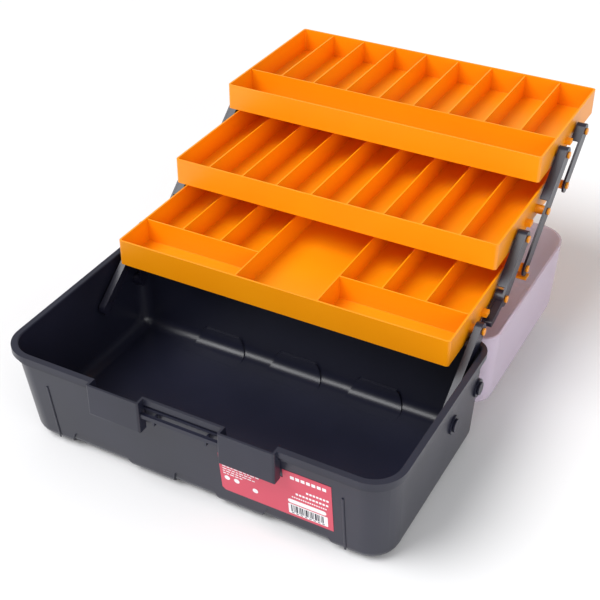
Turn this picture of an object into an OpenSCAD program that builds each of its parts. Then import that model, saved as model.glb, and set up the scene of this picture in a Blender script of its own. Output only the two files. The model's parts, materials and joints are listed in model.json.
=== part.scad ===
// Three-tray cantilever work box. Millimetres, Z up, origin on the resting plane
// under the middle of the base. X runs along the box, -Y is the latch side.
// The trays are drawn raised and the lid is drawn thrown back behind the base.

/* [Base] */
// Length over the rim of the base
base_l = 390; // [330:1:460]
// Depth over the rim of the base
base_d = 218; // [200:1:262]
// Height of the base from its feet to its rim
base_h = 106; // [96:1:126]
// Wall of the base
wall = 2.2; // [1.8:0.1:2.8]
// Overhang of the rim past the wall, front and ends
lip = 4; // [2.5:0.5:5]
// Height of the rim band
lip_h = 6; // [4:0.5:9]
// Radius of the upright rear corners of the walls
corner_r = 15.5; // [10:0.5:15.5]
// Radius of the upright front corners of the walls
front_r = 27; // [16:0.5:32]
// How far the end and rear walls lean in from rim to floor
base_draft = 3.5; // [1:0.5:4]
// How far the front wall leans in from rim to floor
front_draft = 11.5; // [3:0.5:14]
// Radius between the walls and the bottom
bottom_r = 15; // [5:0.5:15]
// Depth of the hollow under the bottom, inside its standing edge
foot_h = 3.5; // [2:0.5:5]
// Depth of the pressed-in steps along the bottom of the front and rear walls
step_t = 2.6; // [1:0.1:3]

/* [Lid] */
// Wall of the lid
lid_wall = 2; // [1.6:0.1:2.6]
// Gap between rim and lid when shut
lid_gap = 0.3; // [0.2:0.1:0.6]
// Room over the folded trays under the shut lid
head_room = 1.6; // [1:0.1:6]
// Length of one hinge
hinge_l = 40; // [30:1:60]
// Radius of the hinge pins
hinge_pin_r = 1.6; // [1.2:0.1:2]
// Radius of the hinge knuckles
knuckle_r = 3.7; // [3.2:0.1:3.8]

/* [Handle and latch] */
// Length of the carrying handle
handle_l = 128; // [100:1:150]
// Thickness of the carrying handle
handle_t = 7; // [6:0.5:7]
// Reach of the handle from its pivots to its grip
handle_reach = 46; // [38:1:60]
// Width of the latch
latch_w = 72; // [50:1:76]
// Thickness of the latch
latch_t = 2.6; // [2:0.1:3.2]

/* [Trays] */
// Room at each end between a tray and the rim, where the arms run
end_room = 21.5; // [21.5:0.5:26]
// How much shallower the trays are than the base
depth_room = 44; // [42:0.5:50]
// Height of every tray
tray_h = 27.2; // [24:0.2:33]
// Wall of the trays
tray_wall = 1.8; // [1.4:0.1:2.4]
// Dividers inside the trays
tray_div = 1.4; // [1:0.1:2]
// Depth of the front compartments, upper and lower tray
front_cell = 48; // [36:1:60]
// Half of the open middle of the lower tray
middle_half = 43; // [30:1:60]
// Cells along the middle and upper trays
cells = 9; // [5:1:10]

/* [Linkage] */
// How far each folded tray sits behind the one below it
fold_shift = 2.5; // [0:0.1:4]
// Last pivot of a tray to its back edge
pivot_back = 5.9; // [5:0.1:10]
// Underside of a tray up to its pivots
pivot_up = 8.7; // [8:0.1:10]
// Rim of the base down to the pivots of the lower arms
pivot_drop = 40; // [38:0.1:42]
// Length between pivots of the lower arms
low_arm = 89.03; // [87:0.01:90]
// Lean of the lower arms with the trays raised, degrees above level
low_lean = 36.14; // [35:0.01:38]
// Gap between folded trays
stack_gap = 0.47; // [0.3:0.01:1.5]
// Lean of the upper arms with the trays raised, degrees above level
up_lean = 39.05; // [36:0.05:39.1]
// Turn of the arms from raised to folded, degrees
fold_turn = 114.4; // [108:0.1:114.4]
// Half width of the arms
arm_r = 7.8; // [6.6:0.1:7.8]
// Width of the arms across the box
arm_w = 9.7; // [9:0.1:9.7]
// Thickness of the cranked strip that carries the main arm over the rim
crank_t = 2.4; // [2:0.1:2.8]
// Thickness of the arm plates
arm_t = 2.2; // [1.8:0.1:2.6]
// Radius of the tray studs
stud_r = 3; // [2:0.1:3.5]
// Radius of the pins in the base
pin_r = 4; // [3.2:0.1:4.5]
// Radial running clearance in every pivot
run_gap = 0.08; // [0.05:0.01:0.1]

/* [Hidden] */
$fn = 48;

// Base: half sizes, and the outside of the walls at rim and floor
half_l = base_l / 2;
half_d = base_d / 2;
rear_lip = 1.5;
rim_r = corner_r + 3.5;
rim_front_r = front_r + 3.5;
wall_l = half_l - lip;
wall_front = -half_d + lip;
wall_rear = half_d - rear_lip;
lip_z = base_h - lip_h;
floor_z = foot_h + wall;
inner_r = min(corner_r, bottom_r + wall) - wall - 0.3;

// Pivots in the Y-Z plane, trays raised; folded trays lie on each other
up_fold = up_lean + fold_turn;
up_arm = (tray_h + stack_gap) / sin(up_fold);
pivot_step = fold_shift - up_arm * cos(up_fold);
pivot_down = tray_h - pivot_up;
main_y = half_d - 17.7;
pivot_y = main_y - pivot_step;
lift_z = base_h - pivot_drop;
A0 = [pivot_y, lift_z];
B0 = [main_y, lift_z];
low_vec = low_arm * [cos(low_lean), sin(low_lean)];
up_vec = up_arm * [cos(up_lean), sin(up_lean)];
A1 = A0 + low_vec;
B1 = B0 + low_vec;
C0 = B1 + [pivot_step, 0];
B2 = B1 + up_vec;
C1 = C0 + up_vec;
D0 = C1 + [pivot_step, 0];
C2 = C1 + up_vec;
D1 = D0 + up_vec;
tray_l = base_l - 2 * end_room;
tray_d = base_d - depth_room;
pivot_in = tray_d - 2 * pivot_step - pivot_back;
tray1 = A1 + [-pivot_in, pivot_down];
tray2 = B2 + [-pivot_in, pivot_down];
tray3 = C2 + [-pivot_in, pivot_down];

// Places across the box, measured from its middle
tray_x = tray_l / 2;
arm_in = tray_x + 1.5;
crank_out = arm_in + crank_t;
arm_out = arm_in + arm_w;
plate_in = arm_out - arm_t;
stud_end = arm_out + 0.4;
stud_head = 1.6;

// Height of the crown follows the folded trays; the hinge is at the back of the rim
folded_top = lift_z + low_arm * sin(low_lean + fold_turn) + 2 * up_arm * sin(up_fold) + pivot_down;
crown_z = folded_top + head_room + lid_wall;
hinge_z = base_h - 0.55;
hinge_y = half_d + 1;
hinge_x = base_l * 0.31;
lid_lean_y = 1.5;
lid_lean_x = 3;
crown_r = 9;

base_blue = [0.15, 0.16, 0.21];
arm_blue = [0.2, 0.2, 0.27];
tray_orange = [1, 0.52, 0];
lid_milk = [0.78, 0.72, 0.82, 0.6];
label_red = [0.82, 0.22, 0.3];

// Outline seen from above, with its own radius for front and rear corners
module outline(x, y0, y1, rf, rr) {
  translate([rf - x, y0]) square([2 * (x - rf), y1 - y0 - rr]);
  translate([rr - x, y0 + rf]) square([2 * (x - rr), y1 - y0 - rf]);
  translate([-x, y0 + rf]) square([2 * x, y1 - y0 - rf - rr]);
  for (sx = [-1, 1]) {
    translate([sx * (x - rf), y0 + rf]) circle(rf);
    translate([sx * (x - rr), y1 - rr]) circle(rr);
  }
}

// Turns an outline in Y-Z into a plate between two places along X
module plate_x(x0, x1) {
  translate([x0, 0, 0]) rotate([90, 0, 90]) linear_extrude(x1 - x0) children();
}

// Rod along X centred on a Y-Z point
module rod_x(p, x0, x1, r) {
  plate_x(x0, x1) translate(p) circle(r);
}

// Straight bar outline between two Y-Z points, with round ends
module bar(p, q, r) {
  v = q - p;
  translate(p) rotate(atan2(v[1], v[0])) {
    translate([0, -r]) square([norm(v), 2 * r]);
    circle(r);
    translate([norm(v), 0]) circle(r);
  }
}

// Strip along the left (side 1) or right (side -1) edge of a bar
module edge_strip(p, q, r, side, t, from = 0, past = 0) {
  v = q - p;
  translate(p) rotate(atan2(v[1], v[0]))
    translate([from, side > 0 ? r - t : -r]) square([norm(v) - from + past, t]);
}

// Upright corner with a rounded lower edge
module low_corner(rc, rb) {
  rotate_extrude($fn = 32) difference() {
    translate([rc - rb, 0]) circle(rb, $fn = 32);
    translate([-rb, -rb]) square([rb, 2 * rb]);
  }
}

// Solid with leaning walls and a rounded lower edge: reach is half its length
// and its front and rear places, corner its front and rear radius
module tub(reach, z0, z1, corner, rb) {
  hull() for (sx = [-1, 1]) {
    x = reach[0];
    front = reach[1] + corner[0];
    rear = reach[2] - corner[1];
    translate([sx * (x - corner[0]), front, z1 - 0.01]) cylinder(r = corner[0], h = 0.01, $fn = 32);
    translate([sx * (x - corner[1]), rear, z1 - 0.01]) cylinder(r = corner[1], h = 0.01, $fn = 32);
    translate([sx * (x - base_draft - corner[0]), front + front_draft, z0 + rb]) low_corner(corner[0], rb);
    translate([sx * (x - base_draft - corner[1]), rear - base_draft, z0 + rb]) low_corner(corner[1], rb);
  }
}

/* Base ---------------------------------------------------------------- */
// Trapezoid steps, open downwards: middle, half width below, half width above
step_h = 21.5;
rear_steps = [[-88, 29, 18], [0, 29, 18], [88, 29, 18]];
front_steps = [[-102, 36, 26], [0, 25, 18], [102, 36, 26]];

module step_outlines(y0, y1, steps, grow) {
  for (s = steps)
    translate([s[0], y1, 0]) rotate([90, 0, 0]) linear_extrude(y1 - y0)
      polygon([[-s[1] - grow, -1], [s[1] + grow, -1], [s[1] + grow, 2], [s[2] + grow + 2, step_h + grow - 2],
        [s[2] + grow - 1, step_h + grow], [1 - s[2] - grow, step_h + grow],
        [-s[2] - grow - 2, step_h + grow - 2], [-s[1] - grow, 2]]);
}

module all_steps(grow) {
  step_outlines(main_y - 15, half_d + 5, rear_steps, grow);
  step_outlines(-half_d - 5, wall_front + front_draft + bottom_r + 4, front_steps, grow);
}

// Outside or inside of the base, in from its outer face by in; set back for the steps
module base_shell(in, z0, z1, rb) {
  tub([wall_l - in, wall_front + in, wall_rear - in], z0, z1, [front_r - in, corner_r - in], rb);
}

module set_back_shell(in, z0, z1, rb) {
  tub([wall_l - in - 1, wall_front + in + step_t, wall_rear - in - step_t], z0 + 0.15, z1 + 1,
    [front_r - in, corner_r - in], rb);
}

module rim_band() {
  difference() {
    union() {
      translate([0, 0, lip_z]) linear_extrude(lip_h)
        outline(half_l, -half_d, half_d, rim_front_r, rim_r);
      // Second, lower line of the rim
      translate([0, 0, lip_z - 5]) linear_extrude(2.2)
        outline(wall_l + 1.6, wall_front - 1.2, wall_rear + 1.2, front_r + 1.4, corner_r + 1.4);
    }
    translate([0, 0, lip_z - 6]) linear_extrude(lip_h + 8)
      outline(wall_l - 1.5, wall_front + 1.8, wall_rear - 1.5, front_r - 1.8, corner_r - 1.5);
  }
}

latch_in = latch_w / 2 + 3;
latch_out = latch_in + 54;
latch_y = -half_d - 5;
latch_z0 = base_h - 33;
catch_z = base_h - 17;
hook_half = latch_w / 2 - 14;

// Two bulges of the front wall, one each side of the latch
module latch_blocks() {
  for (s = [-1, 1])
    translate([s > 0 ? latch_in : -latch_out, latch_y, latch_z0])
      cube([latch_out - latch_in, wall_front - latch_y + 1.2, base_h - latch_z0]);
}

module block_pockets() {
  for (s = [-1, 1])
    translate([s > 0 ? latch_in + wall : -latch_out + wall, latch_y + wall, latch_z0 + wall])
      cube([latch_out - latch_in - 2 * wall, wall_front - latch_y + 3, base_h - latch_z0]);
  // Rim set back between the bulges
  translate([-latch_in, -half_d - 1, lip_z - 6]) cube([2 * latch_in, lip + 0.2, lip_h + 8]);
}

// Bar that the latch hooks under, on two ribs
module catch_bar() {
  translate([-latch_in - 0.5, -half_d - 2.2, catch_z]) cube([2 * latch_in + 1, 3.4, 4]);
  for (x = [-1, 1] * (hook_half + 4))
    translate([x - 1, -half_d - 2.2, catch_z - 4]) cube([2, wall_front + half_d + 3.2, 8]);
}

// Hollow under the bottom, with a crosswise rib left in the middle
module underside() {
  for (s = [-1, 1])
    translate([-wall_l + 34, s > 0 ? 7 : -70, -1]) cube([2 * wall_l - 68, 63, foot_h + 1]);
}

module base_box() {
  color(base_blue) difference() {
    union() {
      difference() {
        base_shell(0, 0, base_h - 0.5, bottom_r);
        underside();
        difference() {
          all_steps(0);
          set_back_shell(0, 0, base_h, bottom_r);
        }
        difference() {
          base_shell(wall, floor_z, base_h + 1, inner_r);
          all_steps(wall);
        }
        set_back_shell(wall, floor_z, base_h + 1, inner_r);
      }
      rim_band();
      latch_blocks();
      for (s = [-1, 1]) base_knuckles(s);
      for (s = [-1, 1], p = [A0, B0]) rod_x(p, s * (wall_l - 1) - 1.4, s * (wall_l - 1) + 1.4, 9);
      catch_bar();
    }
    block_pockets();
    for (s = [-1, 1], p = [A0, B0]) rod_x(p, s * wall_l - 8, s * wall_l + 8, pin_r);
    lid_knuckle_room();
    rod_x([hinge_y, hinge_z], -half_l, half_l, hinge_pin_r);
  }
}

function knuckle_spans(own) = own
  ? [[0, 0.26], [0.74, 1]]
  : [[0.27, 0.73]];

module knuckles(s, own, r) {
  for (k = knuckle_spans(own))
    rod_x([hinge_y, hinge_z], s * hinge_x + (k[0] - 0.5) * hinge_l, s * hinge_x + (k[1] - 0.5) * hinge_l, r);
}

module base_knuckles(s) {
  knuckles(s, true, knuckle_r);
  // Web from each knuckle down the back of the rim
  for (k = knuckle_spans(true))
    translate([s * hinge_x + (k[0] - 0.5) * hinge_l, half_d - 3, lip_z - 4])
      cube([(k[1] - k[0]) * hinge_l, hinge_y - half_d + 2.85, hinge_z - lip_z + 4]);
}

module lid_knuckle_room() {
  for (s = [-1, 1])
    rod_x([hinge_y, hinge_z], s * hinge_x - 0.24 * hinge_l, s * hinge_x + 0.24 * hinge_l, knuckle_r + 0.4);
}

module lid_hinge_pins() {
  color("silver") for (s = [-1, 1])
    rod_x([hinge_y, hinge_z], s * hinge_x - hinge_l / 2, s * hinge_x + hinge_l / 2, hinge_pin_r);
}

label_x0 = 31;
label_w = 108;
label_h = 57;
label_z0 = 25;

// Lean of the flat of the front wall, from the rim to the ball radius at the floor
lean_run = front_draft + bottom_r;
lean_rise = base_h - 0.5 - bottom_r;
wall_lean = atan2(lean_run, lean_rise) - asin(bottom_r / norm([lean_run, lean_rise]));

module front_label() {
  color(label_red) translate([label_x0, wall_front, base_h - 0.5]) rotate([wall_lean, 0, 0])
    translate([0, -0.35, -(base_h - 0.5 - label_z0)]) rotate([90, 0, 0]) mirror([0, 0, 1])
      linear_extrude(0.3) difference() {
        square([label_w, label_h]);
        polygon([[-1, -1], [4, -1], [-1, 4]]);
        translate([-1, latch_z0 - label_z0 - 1.5]) square([latch_out - label_x0 + 2, label_h]);
      }
}

/* Lid, drawn shut and then turned over behind the base ----------------- */
module open_lid() {
  translate([0, hinge_y, hinge_z]) rotate([180, 0, 0]) translate([0, -hinge_y, -hinge_z]) children();
}

lid_z = base_h + lid_gap;
lid_pivot_y = -18;
recess_x = handle_l / 2 + 4;

module lid_tub(inset, z0, z1) {
  // Walls lean in towards the crown, which has a round edge
  hull() for (sx = [-1, 1], sy = [-1, 1]) {
    r = (sy < 0 ? rim_front_r : rim_r) - inset;
    translate([sx * (half_l - inset - r), sy * (half_d - inset - r), z0]) cylinder(r = r, h = 0.01, $fn = 32);
    translate([sx * (half_l - inset - lid_lean_x - r), sy * (half_d - inset - lid_lean_y - r),
      z1 - crown_r + inset]) rotate_extrude($fn = 32) difference() {
        translate([r - crown_r + inset, 0]) circle(crown_r - inset, $fn = 32);
        translate([-crown_r, -crown_r]) square([crown_r, 2 * crown_r]);
      }
  }
}

handle_gap = 0.4;
handle_z = crown_z + handle_t / 2 + handle_gap;

module handle_ears() {
  for (s = [-1, 1]) translate([s * (handle_l / 2 + 4.2) - 3, lid_pivot_y - 7, crown_z - 0.5])
    cube([6, 14, handle_z + 3.6 - crown_z + 0.5]);
}

lid_front_y = -half_d;
latch_pivot = [lid_front_y - 4.4, lid_z + 9];

module lid() {
  color(lid_milk) open_lid() difference() {
    union() {
      difference() {
        lid_tub(0, lid_z, crown_z);
        lid_tub(lid_wall, lid_z - 1, crown_z - lid_wall);
      }
      handle_ears();
      for (s = [-1, 1]) {
        knuckles(s, false, knuckle_r);
        translate([s * hinge_x - 0.23 * hinge_l, half_d - 1.6, hinge_z])
          cube([0.46 * hinge_l, hinge_y - half_d + 1.45, 11]);
        // Ears for the latch pin
        translate([s * (latch_w / 2 + 2.6) - 2, latch_pivot[0] - 3.4, lid_z + 4.5])
          cube([4, lid_front_y - latch_pivot[0] + 4.6, 11]);
      }
    }
    base_knuckle_room();
    rod_x([hinge_y, hinge_z], -half_l, half_l, hinge_pin_r + run_gap);
    rod_x([lid_pivot_y, handle_z], -handle_l, handle_l, 2);
    rod_x(latch_pivot, -latch_w, latch_w, 1.5);
  }
}

module base_knuckle_room() {
  for (s = [-1, 1], k = knuckle_spans(true))
    rod_x([hinge_y, hinge_z], s * hinge_x + (k[0] - 0.5) * hinge_l - 0.4,
      s * hinge_x + (k[1] - 0.5) * hinge_l + 0.4, knuckle_r + 0.4);
}

module carry_handle() {
  // Bail lying flat towards the latch side
  color(base_blue) open_lid() difference() {
    union() {
      for (s = [-1, 1]) {
        rod_x([lid_pivot_y, handle_z], s * (handle_l / 2 - 3.6) - 4.2, s * (handle_l / 2 - 3.6) + 4.2,
          handle_t / 2);
        translate([s * (handle_l / 2 - 3.6) - 4.2, lid_pivot_y - handle_reach, handle_z - handle_t / 2])
          cube([8.4, handle_reach, handle_t]);
      }
      translate([-handle_l / 2 + 0.6, lid_pivot_y - handle_reach - 9, handle_z - handle_t / 2])
        cube([handle_l - 1.2, 18, handle_t]);
    }
    rod_x([lid_pivot_y, handle_z], -handle_l, handle_l, 2 + run_gap);
    // Shallow finger grooves under the grip
    for (x = [-1.5:1:1.5]) translate([x * 22, lid_pivot_y - handle_reach + 14, handle_z - handle_t])
      cylinder(r = 10.5, h = 2 * handle_t);
  }
}

module handle_pins() {
  color("silver") open_lid() for (s = [-1, 1])
    rod_x([lid_pivot_y, handle_z], s * (handle_l / 2) - 7.2, s * (handle_l / 2) + 7.2, 2);
}

// Turn of the latch from hooked to hanging free on the open lid, degrees
latch_hang = -171;

module hanging() {
  translate([0, latch_pivot[0], latch_pivot[1]]) rotate([latch_hang, 0, 0])
    translate([0, -latch_pivot[0], -latch_pivot[1]]) children();
}

module front_latch() {
  // Flap on its pin, with a hook that goes under the catch bar
  y_face = latch_pivot[0] - 1.2;
  hook_z = catch_z - 3.5;
  color(base_blue) open_lid() hanging() difference() {
    union() {
      rod_x(latch_pivot, -latch_w / 2, latch_w / 2, 3.2);
      translate([-latch_w / 2, y_face - latch_t, catch_z - 7])
        cube([latch_w, latch_t, latch_pivot[1] - catch_z + 7]);
      translate([-hook_half, y_face - 0.5, hook_z]) cube([2 * hook_half, 5.6, 3]);
      translate([-latch_w / 4, y_face - latch_t - 2, catch_z - 7]) cube([latch_w / 2, 2.5, 4]);
    }
    rod_x(latch_pivot, -latch_w, latch_w, 1.5 + run_gap);
    translate([-latch_w / 2 - 1, y_face, lid_z + 12.4]) cube([latch_w + 2, 12, 10]);
  }
}

module latch_pin() {
  color("silver") open_lid() rod_x(latch_pivot, -latch_w / 2 - 4.6, latch_w / 2 + 4.6, 1.5);
}

/* Trays ---------------------------------------------------------------- */
// A tray with its front top edge at a Y-Z point; children are its dividers
module tray(at, studs, tabs) {
  z0 = at[1] - tray_h;
  color(tray_orange) union() {
    translate([0, at[0] + tray_d / 2, z0]) difference() {
      linear_extrude(tray_h) outline(tray_x, -tray_d / 2, tray_d / 2, 3, 3);
      translate([0, 0, tray_wall]) linear_extrude(tray_h)
        outline(tray_x - tray_wall, tray_wall - tray_d / 2, tray_d / 2 - tray_wall, 2, 2);
    }
    translate([0, at[0], z0 + 0.5]) children();
    for (s = [-1, 1]) {
      for (p = studs) {
        shoulder = p == B1 ? arm_in - 0.3 : plate_in - 0.3;
        rod_x(p, s > 0 ? tray_x - 0.6 : -shoulder, s > 0 ? shoulder : -tray_x + 0.6, stud_r + 1.6);
        rod_x(p, s > 0 ? tray_x : -stud_end, s > 0 ? stud_end : -tray_x, stud_r);
        rod_x(p, s > 0 ? stud_end - 0.05 : -stud_end - stud_head, s > 0 ? stud_end + stud_head : -stud_end + 0.05,
          stud_r + 0.5);
      }
      for (t = tabs) // each is a Y-Z point, then its X reach, Y length and height
        translate([s > 0 ? tray_x - 0.6 : -tray_x - t[1][0], t[0][0], t[0][1]])
          cube(t[1] + [0.6, 0, 0]);
    }
  }
}

module cross_wall(x, y0, y1) {
  translate([x - tray_div / 2, y0, 0]) cube([tray_div, y1 - y0, tray_h - 1.5]);
}

module long_wall(y, x0, x1) {
  translate([x0, y - tray_div / 2, 0]) cube([x1 - x0, tray_div, tray_h - 1.5]);
}

// Place of a stop tab in front of a tray's middle pivot
function stop_tab(mid) = [mid + [-35, -1.5], [6, 8, 4.5]];

// Tab under the last pivot of the lower tray
rest_tab = [C0 + [-4.5, -pivot_up - 2], [arm_out + 2 - tray_x, 10, 2.3]];

module lower_tray() {
  block = tray_x - middle_half;
  tray(tray1, [A1, B1, C0], [stop_tab(B1), rest_tab]) {
    for (s = [-1, 1]) {
      cross_wall(s * middle_half, 1, tray_d - 1);
      long_wall(front_cell, s > 0 ? middle_half : -tray_x + 1, s > 0 ? tray_x - 1 : -middle_half);
      for (k = [1, 2]) cross_wall(s * (middle_half + block * k / 3), front_cell, tray_d - 1);
    }
  }
}

module middle_tray() {
  tray(tray2, [B2, C1, D0], [stop_tab(C1)])
    for (k = [1:cells - 1]) cross_wall(-tray_x + tray_l * k / cells, 1, tray_d - 1);
}

module upper_tray() {
  tray(tray3, [C2, D1], [stop_tab(D1)]) {
    long_wall(front_cell, -tray_x + 1, tray_x - 1);
    for (k = [1:cells - 1]) cross_wall(-tray_x + tray_l * k / cells, front_cell, tray_d - 1);
  }
}

/* Arms ----------------------------------------------------------------- */
// Channel arm through a list of pivots: a plate outside, a wide flange along the front edge of the
// spans with a start in wide, a thin flange along the back edge, and bores. inside is where the
// wide flange and the hub begin, measured across the box. Flanges sit a step in from the plate's edge.
step_in = 0.15;

module arm(s, pts, wide, bores, inside, hubs = []) {
  last = len(pts) - 1;
  edge_r = arm_r - step_in;
  color(arm_blue) difference() {
    union() {
      side_plate(s, plate_in, arm_out) bar(pts[0], pts[last], arm_r);
      side_plate(s, plate_in - 3, arm_out - 0.6) edge_strip(pts[0], pts[last], edge_r, -1, 1.6, 1, -1);
      side_plate(s, inside, arm_out - 0.6) {
        for (i = [0:last - 1])
          if (wide[i] >= 0) edge_strip(pts[i], pts[i + 1], edge_r, 1, 1.8, wide[i], 0.2);
        head_ring(pts[last - 1], pts[last], edge_r);
        for (h = hubs) translate(h) circle(edge_r);
      }
      children();
    }
    for (b = bores) side_plate(s, arm_in - 1, arm_out + 1) translate(b[0]) circle(b[1]);
  }
}

// Plate between two distances from the middle, on the right (1) or left (-1) of the box
module side_plate(s, x0, x1) {
  plate_x(s > 0 ? x0 : -x1, s > 0 ? x1 : -x0) children();
}

// Flange carried round the top head of an arm
module head_ring(p, q, r) {
  v = q - p;
  translate(q) rotate(atan2(v[1], v[0])) intersection() {
    difference() {
      circle(r);
      circle(r - 2.1);
    }
    translate([0, -r * 0.8]) square([2 * r, 2 * r]);
  }
}

stud_hole = stud_r + run_gap;
pin_hole = pin_r + run_gap;

// The main arm's lower end goes up inside the back wall, over the rim and under the first stud
// of the lower tray, in a layer of its own next to the tray
crank_z = base_h + 3.6;
crank_up = [main_y, crank_z];
crank_over = [half_d + 23, crank_z];
crank_hub = 5.6;
front_in = crank_out + 0.4;

module crank(s) {
  side_plate(s, arm_in, crank_out) {
    bar(B0, crank_up, 4.6);
    bar(crank_up, crank_over, 2.9);
    bar(crank_over, B1, 4.4);
  }
  side_plate(s, arm_in + 0.3, arm_out) translate(B0) circle(crank_hub);
  side_plate(s, arm_in + 0.3, arm_out - 0.3) bar(crank_over, B1, 3.4);
}

module front_arm(s) {
  arm(s, [A0, A1], [0], [[A0, pin_hole], [A1, stud_hole]], front_in, [A0]);
}

module main_arm(s) {
  arm(s, [B1, B2], [8], [[B0, pin_hole], [B1, stud_hole], [B2, stud_hole]], arm_in, [B1]) crank(s);
}

module upper_arm(s) {
  arm(s, [C0, C1, C2], [-1, 8], [[C0, stud_hole], [C1, stud_hole], [C2, stud_hole]], arm_in);
}

module short_arm(s) {
  arm(s, [D0, D1], [up_arm - 16], [[D0, stud_hole], [D1, stud_hole]], arm_in);
}

// Pins pressed into the base walls; the arms turn on them
module base_pins(p, inside) {
  color(base_blue) for (s = [-1, 1]) {
    side_plate(s, inside, wall_l + 1.2) translate(p) circle(pin_r);
    side_plate(s, wall_l + 0.7, wall_l + 2.6) translate(p) circle(6.4);
  }
}

module front_pivot_pins() { base_pins(A0, front_in + 0.2); }
module main_pivot_pins() { base_pins(B0, arm_in + 0.2); }

base_box();
front_label();
lid_hinge_pins();
lid();
carry_handle();
handle_pins();
front_latch();
latch_pin();
front_pivot_pins();
main_pivot_pins();
lower_tray();
middle_tray();
upper_tray();
front_arm(-1);  // front_arm_left
front_arm(1);  // front_arm_right
main_arm(-1);  // main_arm_left
main_arm(1);  // main_arm_right
upper_arm(-1);  // upper_arm_left
upper_arm(1);  // upper_arm_right
short_arm(-1);  // short_arm_left
short_arm(1);  // short_arm_right
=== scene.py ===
"""Looks for the three-tray cantilever box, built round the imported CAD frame. Metres, Z up."""
import json
import math

import bmesh
import bpy
from mathutils import Matrix, Vector

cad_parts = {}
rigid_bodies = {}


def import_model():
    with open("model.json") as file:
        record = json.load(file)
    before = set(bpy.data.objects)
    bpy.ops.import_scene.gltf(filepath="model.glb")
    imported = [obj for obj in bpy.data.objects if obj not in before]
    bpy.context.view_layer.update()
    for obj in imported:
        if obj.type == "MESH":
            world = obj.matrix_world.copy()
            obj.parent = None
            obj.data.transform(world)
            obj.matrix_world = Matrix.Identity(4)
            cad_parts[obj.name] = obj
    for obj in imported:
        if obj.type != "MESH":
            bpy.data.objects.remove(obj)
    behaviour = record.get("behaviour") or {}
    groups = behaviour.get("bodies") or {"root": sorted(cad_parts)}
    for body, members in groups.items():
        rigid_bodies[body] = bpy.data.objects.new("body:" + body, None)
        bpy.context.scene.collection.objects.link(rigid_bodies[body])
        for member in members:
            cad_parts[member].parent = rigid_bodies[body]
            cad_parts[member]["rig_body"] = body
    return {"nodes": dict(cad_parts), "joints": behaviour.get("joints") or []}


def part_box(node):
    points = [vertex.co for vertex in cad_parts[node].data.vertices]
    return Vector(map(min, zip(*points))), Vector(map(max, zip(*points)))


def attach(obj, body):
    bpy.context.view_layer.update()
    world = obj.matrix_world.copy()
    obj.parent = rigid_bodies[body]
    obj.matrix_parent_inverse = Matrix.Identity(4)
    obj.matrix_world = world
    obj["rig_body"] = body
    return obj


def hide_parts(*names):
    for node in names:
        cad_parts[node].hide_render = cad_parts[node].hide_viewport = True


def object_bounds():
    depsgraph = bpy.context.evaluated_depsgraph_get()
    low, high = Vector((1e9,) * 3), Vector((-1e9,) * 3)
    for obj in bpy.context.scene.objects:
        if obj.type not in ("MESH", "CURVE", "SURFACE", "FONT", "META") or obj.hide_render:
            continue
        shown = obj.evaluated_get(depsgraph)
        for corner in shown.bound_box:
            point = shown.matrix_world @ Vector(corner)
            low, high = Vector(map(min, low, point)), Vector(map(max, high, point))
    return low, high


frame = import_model()
CAD_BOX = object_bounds()
MM = 0.001
NODES = frame["nodes"]

# The rim stands this far over the hinge line of the lid
RIM_OVER_HINGE = 0.55 * MM
LID_HINGE = next(j for j in frame["joints"] if j["name"] == "lid_hinge")
BASE_TOP = LID_HINGE["pos_m"][2] + RIM_OVER_HINGE

# Rounds on moulded edges
BASE_ROUND = 0.5 * MM
TRAY_ROUND = 0.35 * MM
PIN_ROUND = 0.4 * MM
LABEL_ROUND = 0.08 * MM
STEEL_ROUND = 0.2 * MM
RIM_BEAD = 1.5 * MM
BULGE_ROUND = 2.2 * MM

# Camera: degrees, then the lens, the shift that frames the box, and where it looks
CAMERA_ANGLES = (29.02, 35.22, -0.35)
CAMERA_LENS = 71.15
CAMERA_SHIFT = (0.0264, 0.0064)
CAMERA_TARGET = Vector((0.0223, 0.0323, 0.1396))
CAMERA_DISTANCE = 1.06

# Floor: half its side, and how far under the box it lies
FLOOR_REACH = 6.0
FLOOR_GAP = 0.2 * MM

# Light: strength of the sky, the sun and the fill
SKY_STRENGTH = 0.5
SUN_STRENGTH = 2.4
SUN_SPREAD = math.radians(40)
SUN_FROM = Vector((-0.42, -0.42, 0.8))
FILL_POWER = 10


# ---------------------------------------------------------------- materials
def new_material(name, color, roughness):
    """A principled material with an even base colour, ready for its own detail."""
    mat = bpy.data.materials.new(name)
    mat.use_nodes = True
    shader = mat.node_tree.nodes["Principled BSDF"]
    shader.inputs["Base Color"].default_value = (*color, 1)
    shader.inputs["Roughness"].default_value = roughness
    shader.inputs["IOR"].default_value = 1.49
    return mat, shader


def add_node(mat, kind, **inputs):
    node = mat.node_tree.nodes.new(kind)
    for name, value in inputs.items():
        node.inputs[name.replace("_", " ")].default_value = value
    return node


def noise(mat, scale, detail=3.0):
    """Noise in object space, so it stays with the piece."""
    coords = mat.node_tree.nodes.new("ShaderNodeTexCoord")
    tex = add_node(mat, "ShaderNodeTexNoise", Scale=scale, Detail=detail)
    mat.node_tree.links.new(coords.outputs["Object"], tex.inputs["Vector"])
    return tex.outputs["Fac"]


def vary_color(mat, shader, low, high, scale):
    """Base colour that drifts softly between two close colours."""
    ramp = mat.node_tree.nodes.new("ShaderNodeValToRGB")
    ramp.color_ramp.elements[0].position = 0.35
    ramp.color_ramp.elements[0].color = (*low, 1)
    ramp.color_ramp.elements[1].position = 0.65
    ramp.color_ramp.elements[1].color = (*high, 1)
    mat.node_tree.links.new(noise(mat, scale), ramp.inputs["Fac"])
    mat.node_tree.links.new(ramp.outputs["Color"], shader.inputs["Base Color"])


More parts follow.
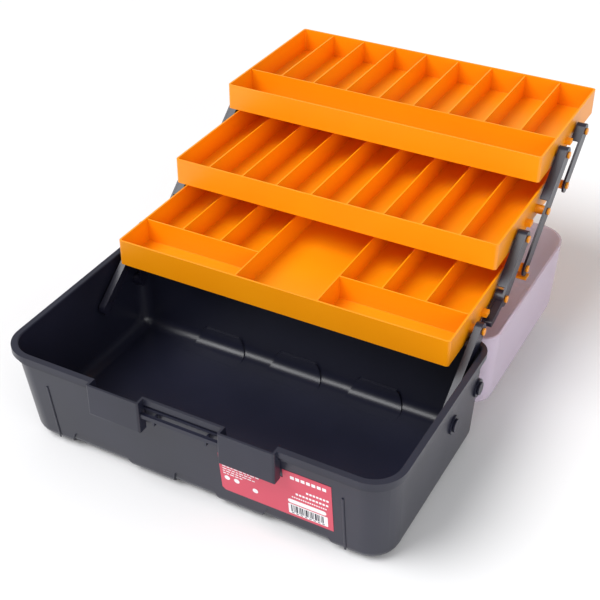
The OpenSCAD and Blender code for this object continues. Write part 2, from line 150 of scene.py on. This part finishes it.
def vary_roughness(mat, shader, low, high, scale):
    span = add_node(mat, "ShaderNodeMapRange", To_Min=low, To_Max=high)
    mat.node_tree.links.new(noise(mat, scale, 5.0), span.inputs["Value"])
    mat.node_tree.links.new(span.outputs["Result"], shader.inputs["Roughness"])


def add_bump(mat, shader, scale, strength, distance):
    """Fine moulded grain."""
    bump = add_node(mat, "ShaderNodeBump", Strength=strength, Distance=distance)
    mat.node_tree.links.new(noise(mat, scale, 2.0), bump.inputs["Height"])
    mat.node_tree.links.new(bump.outputs["Normal"], shader.inputs["Normal"])


def moulded_plastic(name, low, high, roughness, grain):
    """Injection-moulded plastic: slight colour drift, uneven gloss, fine grain."""
    mat, shader = new_material(name, high, roughness)
    vary_color(mat, shader, low, high, 9.0)
    vary_roughness(mat, shader, roughness - 0.05, roughness + 0.06, 14.0)
    add_bump(mat, shader, grain, 0.25, 0.00012)
    return mat


def milky_plastic():
    """Translucent polypropylene, milky with a faint violet cast."""
    mat, shader = new_material("milky_lid", (0.78, 0.68, 0.83), 0.32)
    vary_color(mat, shader, (0.76, 0.66, 0.81), (0.80, 0.70, 0.85), 6.0)
    vary_roughness(mat, shader, 0.26, 0.4, 10.0)
    add_bump(mat, shader, 700.0, 0.15, 0.0001)
    shader.inputs["Alpha"].default_value = 0.5
    return mat


def brushed_steel():
    mat, shader = new_material("pin_steel", (0.55, 0.55, 0.57), 0.32)
    shader.inputs["Metallic"].default_value = 1.0
    vary_roughness(mat, shader, 0.25, 0.42, 60.0)
    add_bump(mat, shader, 900.0, 0.2, 0.00005)
    return mat


BLACK = moulded_plastic("black_base", (0.012, 0.013, 0.026), (0.016, 0.017, 0.034), 0.31, 1400.0)
ARM = moulded_plastic("dark_arm", (0.011, 0.011, 0.024), (0.015, 0.015, 0.032), 0.33, 900.0)
ORANGE = moulded_plastic("orange_tray", (0.97, 0.325, 0.0004), (1.0, 0.355, 0.0006), 0.38, 600.0)
RED = moulded_plastic("label_red", (0.60, 0.06, 0.105), (0.65, 0.07, 0.12), 0.4, 500.0)
WHITE = moulded_plastic("label_white", (0.80, 0.80, 0.82), (0.88, 0.88, 0.90), 0.45, 500.0)
MILKY = milky_plastic()
STEEL = brushed_steel()


# ------------------------------------------------------------- mesh helpers
def link(name, mesh, mat, body):
    piece = bpy.data.objects.new(name, mesh)
    bpy.context.scene.collection.objects.link(piece)
    mesh.materials.clear()
    mesh.materials.append(mat)
    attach(piece, body)
    return piece


def new_base_piece(name, bm, mat):
    """Turns finished mesh data into a piece of the base."""
    bmesh.ops.recalc_face_normals(bm, faces=bm.faces)
    mesh = bpy.data.meshes.new(name)
    bm.to_mesh(mesh)
    bm.free()
    link(name, mesh, mat, "base")


SAME_POINT = 2e-6
SAME_PLANE = math.radians(0.4)
CORNER = math.radians(50)


def clean_copy(node):
    """A copy of a CAD node's mesh with its seams joined and its flats made whole."""
    bm = bmesh.new()
    bm.from_mesh(NODES[node].data)
    bmesh.ops.remove_doubles(bm, verts=bm.verts, dist=SAME_POINT)
    bmesh.ops.dissolve_limit(bm, angle_limit=SAME_PLANE, verts=bm.verts, edges=bm.edges)
    mesh = bpy.data.meshes.new(node + "_shape")
    bm.to_mesh(mesh)
    bm.free()
    return mesh


def apply_modifiers(piece):
    """Keeps what the modifiers make as the piece's own mesh."""
    graph = bpy.context.evaluated_depsgraph_get()
    made = bpy.data.meshes.new_from_object(piece.evaluated_get(graph),
                                           preserve_all_data_layers=True, depsgraph=graph)
    piece.modifiers.clear()
    old = piece.data
    piece.data = made
    bpy.data.meshes.remove(old)


def soften(mesh, chosen, width, segments=3):
    """A larger round on the sharp edges whose two ends both pass the test."""
    bm = bmesh.new()
    bm.from_mesh(mesh)
    edges = [e for e in bm.edges if len(e.link_faces) == 2 and e.calc_face_angle() > CORNER
             and chosen(e.verts[0].co, e.verts[1].co)]
    bmesh.ops.bevel(bm, geom=edges, offset=width, offset_type="OFFSET", segments=segments,
                    profile=0.5, affect="EDGES", clamp_overlap=True)
    bm.to_mesh(mesh)
    bm.free()


def round_edges(piece, width, segments=2, angle=32):
    """Moulded edges: a small round on every edge sharper than the angle, with even shading."""
    bevel = piece.modifiers.new("edges", "BEVEL")
    bevel.width = width
    bevel.segments = segments
    bevel.limit_method = "ANGLE"
    bevel.angle_limit = math.radians(angle)
    bevel.miter_outer = "MITER_ARC"
    for face in piece.data.polygons:
        face.use_smooth = True
    even = piece.modifiers.new("even", "WEIGHTED_NORMAL")
    even.weight = 80
    apply_modifiers(piece)


def moulded(node, mat, width, softer=()):
    """Stands for a CAD node with the same shape and rounded edges."""
    mesh = clean_copy(node)
    for chosen, soft_width in softer:
        soften(mesh, chosen, soft_width)
    piece = link(node + "_look", mesh, mat, NODES[node]["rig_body"])
    round_edges(piece, width)
    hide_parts(node)
    return piece


# ------------------------------------------------------------------- pieces
def base_box():
    """The base, with a beaded rim and soft corners on the bulges beside the latch."""
    low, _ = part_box("base_box")

    def on_rim(a, b):
        return max(abs(a.z - BASE_TOP), abs(b.z - BASE_TOP)) < 0.2 * MM

    def on_bulge(a, b):
        front = max(a.y, b.y) < low.y + 0.4 * MM
        return front and min(a.z, b.z) < BASE_TOP - 3 * MM

    softer = [(on_bulge, BULGE_ROUND), (on_rim, RIM_BEAD)]
    moulded("base_box", BLACK, BASE_ROUND, softer)


def label_frame():
    """Lower left corner of the label's face, and its directions across and up the leaning wall."""
    corners = [v.co for v in NODES["front_label"].data.vertices]
    low_z, high_z = min(v.z for v in corners), max(v.z for v in corners)
    foot = min((v for v in corners if v.z < low_z + 0.4 * MM), key=lambda v: v.y)
    head = min((v for v in corners if v.z > high_z - 0.4 * MM), key=lambda v: v.y)
    up = Vector((0, head.y - foot.y, head.z - foot.z)).normalized()
    left = min(v.x for v in corners)
    return Vector((left, foot.y, foot.z)), up


def rounded_plate(bm, at, width, height, radius, lift, up, steps=5):
    """A thin plate with round corners, standing just proud of the label."""
    across = Vector((1, 0, 0))
    out = across.cross(up)
    outline = []
    for corner, (cx, cy) in enumerate(((1, 1), (-1, 1), (-1, -1), (1, -1))):
        for step in range(steps + 1):
            turn = math.radians(90 * (corner + step / steps))
            outline.append((cx * (width / 2 - radius) + radius * math.cos(turn),
                            cy * (height / 2 - radius) + radius * math.sin(turn)))
    rings = [[bm.verts.new(at + across * x + up * y + out * z) for x, y in outline]
             for z in (-0.02 * MM, lift)]
    bm.faces.new(rings[1])
    bm.faces.new(rings[0][::-1])
    for k, low_vert in enumerate(rings[0]):
        after = (k + 1) % len(outline)
        bm.faces.new((low_vert, rings[0][after], rings[1][after], rings[1][k]))


# Generic marks in mm, placed across and up from the label's lower left corner. Pills and the panel
# have their middle, width, height and radius, dots their middle, small rows their start and length,
# large rows their start, length and height, and bars their widths.
LABEL_PILLS = [(19, 43.2, 30, 4.6, 2.2), (84, 19.6, 36, 5.0, 2.4)]
LABEL_DOTS = [(6.5, 17.5), (16, 17.5), (34, 14)]
TEXT_ROWS = [(3, 38, 36), (3, 35, 33), (3, 32, 37), (3, 29, 30), (3, 26, 34), (3, 23, 22)]
LARGE_ROWS = [(70, 50.2, 34, 3.8), (84, 37, 21, 2.4), (74, 31, 31, 2.4), (70, 25.8, 35, 1.6)]
BARS = (1.2, 0.6, 0.6, 1.8, 0.6, 1.2, 1.2, 0.6, 1.8, 0.6, 0.6, 1.2, 0.6, 1.8, 1.2, 0.6, 0.6, 1.2)
BAR_PANEL = (84.5, 9.5, 37, 12.5, 0.6)
WHITE_LIFT = 0.05 * MM
DARK_LIFT = 0.09 * MM


def label_marks():
    """Plain pills, dots, dashes and bars where the printing is; no lettering."""
    origin, up = label_frame()

    def spot(x, y):
        return origin + Vector((x * MM, 0, 0)) + up * (y * MM)

    white = bmesh.new()
    for x, y, width, height, radius in LABEL_PILLS + [BAR_PANEL]:
        rounded_plate(white, spot(x, y), width * MM, height * MM, radius * MM, WHITE_LIFT, up)
    for x, y in LABEL_DOTS:
        rounded_plate(white, spot(x, y), 5.4 * MM, 5.4 * MM, 2.6 * MM, WHITE_LIFT, up)
    for row, (x, y, length) in enumerate(TEXT_ROWS):
        at = 0.0
        for word in range(9):
            width = 2.2 + 1.9 * ((row * 5 + word * 3) % 4) / 3
            if at + width > length:
                break
            middle = spot(x + at + width / 2, y)
            rounded_plate(white, middle, width * MM, 1.1 * MM, 0.3 * MM, WHITE_LIFT, up, 2)
            at += width + 0.9
    for x, y, length, height in LARGE_ROWS:
        at = 0.0
        while at < length - 2:
            width = min(length - at, height * 0.95)
            middle = spot(x + at + width / 2, y)
            rounded_plate(white, middle, width * MM, height * MM, 0.45 * MM, WHITE_LIFT, up, 3)
            at += width + height * 0.35
    new_base_piece("label_marks", white, WHITE)

    dark = bmesh.new()
    at = 68.5
    for k, width in enumerate(BARS):
        middle = spot(at + width / 2, 10.3)
        rounded_plate(dark, middle, width * MM, 8.6 * MM, 0.1 * MM, DARK_LIFT, up, 1)
        at += width + (0.6 if k % 3 else 1.0)
    for k in range(8):
        rounded_plate(dark, spot(70 + 4.1 * k, 4.6), 2.4 * MM, 1.0 * MM, 0.2 * MM, DARK_LIFT, up, 1)
    new_base_piece("label_bars", dark, BLACK)


# Corner ribs: place each side of the middle, length, start under the label's lower edge, section
RIB_X = 149 * MM
RIB_LENGTH = 66 * MM
RIB_DROP = 18 * MM
RIB_HALF_WIDTH = 1.1 * MM
RIB_PROUD = 0.75 * MM
RIB_SINK = 0.1 * MM
RIB_STEPS = 6


def corner_ribs():
    """Rounded upright ribs on the front wall, where the corner posts begin."""
    _, up = label_frame()
    low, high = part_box("front_label")
    foot = Vector((0, high.y - 0.3 * MM, low.z)) - up * RIB_DROP
    across = Vector((1, 0, 0))
    out = across.cross(up)
    bm = bmesh.new()
    turns = [math.pi * k / RIB_STEPS for k in range(RIB_STEPS + 1)]
    profile = [(RIB_HALF_WIDTH * math.cos(turn), RIB_PROUD * math.sin(turn) - RIB_SINK)
               for turn in turns]
    for side in (-1, 1):
        ends = [[bm.verts.new(foot + across * (side * RIB_X + x) + out * y + up * h)
                 for x, y in profile] for h in (0, RIB_LENGTH)]
        for k in range(RIB_STEPS):
            bm.faces.new((ends[0][k], ends[0][k + 1], ends[1][k + 1], ends[1][k]))
        bm.faces.new((ends[0][0], ends[1][0], ends[1][-1], ends[0][-1]))
        bm.faces.new(ends[0][::-1])
        bm.faces.new(ends[1])
    new_base_piece("corner_ribs", bm, BLACK)


def build_pieces():
    base_box()
    corner_ribs()
    label_marks()
    for node in ("lower_tray", "middle_tray", "upper_tray"):
        moulded(node, ORANGE, TRAY_ROUND)
    for name in ("front_arm", "main_arm", "upper_arm", "short_arm"):
        for side in ("left", "right"):
            moulded(f"{name}_{side}", ARM, TRAY_ROUND)
    for node in ("front_pivot_pins", "main_pivot_pins"):
        moulded(node, ARM, PIN_ROUND)
    for node in ("carry_handle", "front_latch"):
        moulded(node, BLACK, BASE_ROUND)
    moulded("lid", MILKY, PIN_ROUND)
    moulded("front_label", RED, LABEL_ROUND)
    for node in ("lid_hinge_pins", "handle_pins", "latch_pin"):
        moulded(node, STEEL, STEEL_ROUND)


# ------------------------------------------------- floor, light and camera
def floor():
    mesh = bpy.data.meshes.new("floor")
    bm = bmesh.new()
    bmesh.ops.create_grid(bm, x_segments=8, y_segments=8, size=FLOOR_REACH)
    bm.to_mesh(mesh)
    bm.free()
    plane = bpy.data.objects.new("floor", mesh)
    plane.location.z = CAD_BOX[0].z - FLOOR_GAP
    bpy.context.scene.collection.objects.link(plane)
    mat, shader = new_material("pale_floor", (0.92, 0.92, 0.93), 0.7)
    vary_color(mat, shader, (0.91, 0.91, 0.92), (0.93, 0.93, 0.94), 2.0)
    mesh.materials.append(mat)


def area_light(name, place, aim, size, power):
    light = bpy.data.lights.new(name, "AREA")
    light.shape = "RECTANGLE"
    light.size, light.size_y = size
    light.energy = power
    lamp = bpy.data.objects.new(name, light)
    lamp.location = place
    lamp.rotation_mode = "QUATERNION"
    lamp.rotation_quaternion = (Vector(place) - Vector(aim)).to_track_quat("Z", "Y")
    bpy.context.scene.collection.objects.link(lamp)


def studio():
    world = bpy.data.worlds.new("studio")
    world.use_nodes = True
    sky = world.node_tree.nodes["Background"]
    sky.inputs["Color"].default_value = (1.0, 1.0, 1.0, 1)
    sky.inputs["Strength"].default_value = SKY_STRENGTH
    bpy.context.scene.world = world
    centre = (CAD_BOX[0] + CAD_BOX[1]) / 2
    sun = bpy.data.lights.new("key", "SUN")
    sun.energy = SUN_STRENGTH
    sun.angle = SUN_SPREAD
    key = bpy.data.objects.new("key", sun)
    key.rotation_mode = "QUATERNION"
    key.rotation_quaternion = SUN_FROM.to_track_quat("Z", "Y")
    bpy.context.scene.collection.objects.link(key)
    area_light("fill", (1.5, -1.0, 0.9), centre, (1.4, 1.0), FILL_POWER)


def camera():
    """Looks down on the box from the front right."""
    azimuth, elevation, roll = (math.radians(angle) for angle in CAMERA_ANGLES)
    back = Vector((math.sin(azimuth) * math.cos(elevation),
                   -math.cos(azimuth) * math.cos(elevation), math.sin(elevation)))
    side = Vector((math.cos(azimuth), math.sin(azimuth), 0))
    up = back.cross(side)
    right = side * math.cos(roll) + up * math.sin(roll)
    up = up * math.cos(roll) - side * math.sin(roll)
    data = bpy.data.cameras.new("camera")
    data.sensor_width = 36
    data.lens = CAMERA_LENS
    data.shift_x, data.shift_y = CAMERA_SHIFT
    cam = bpy.data.objects.new("camera", data)
    cam.matrix_world = Matrix((right, up, back)).transposed().to_4x4()
    cam.location = CAMERA_TARGET + back * CAMERA_DISTANCE
    bpy.context.scene.collection.objects.link(cam)
    bpy.context.scene.camera = cam


build_pieces()
floor()
studio()
camera()
bpy.context.scene.view_settings.view_transform = "Standard"
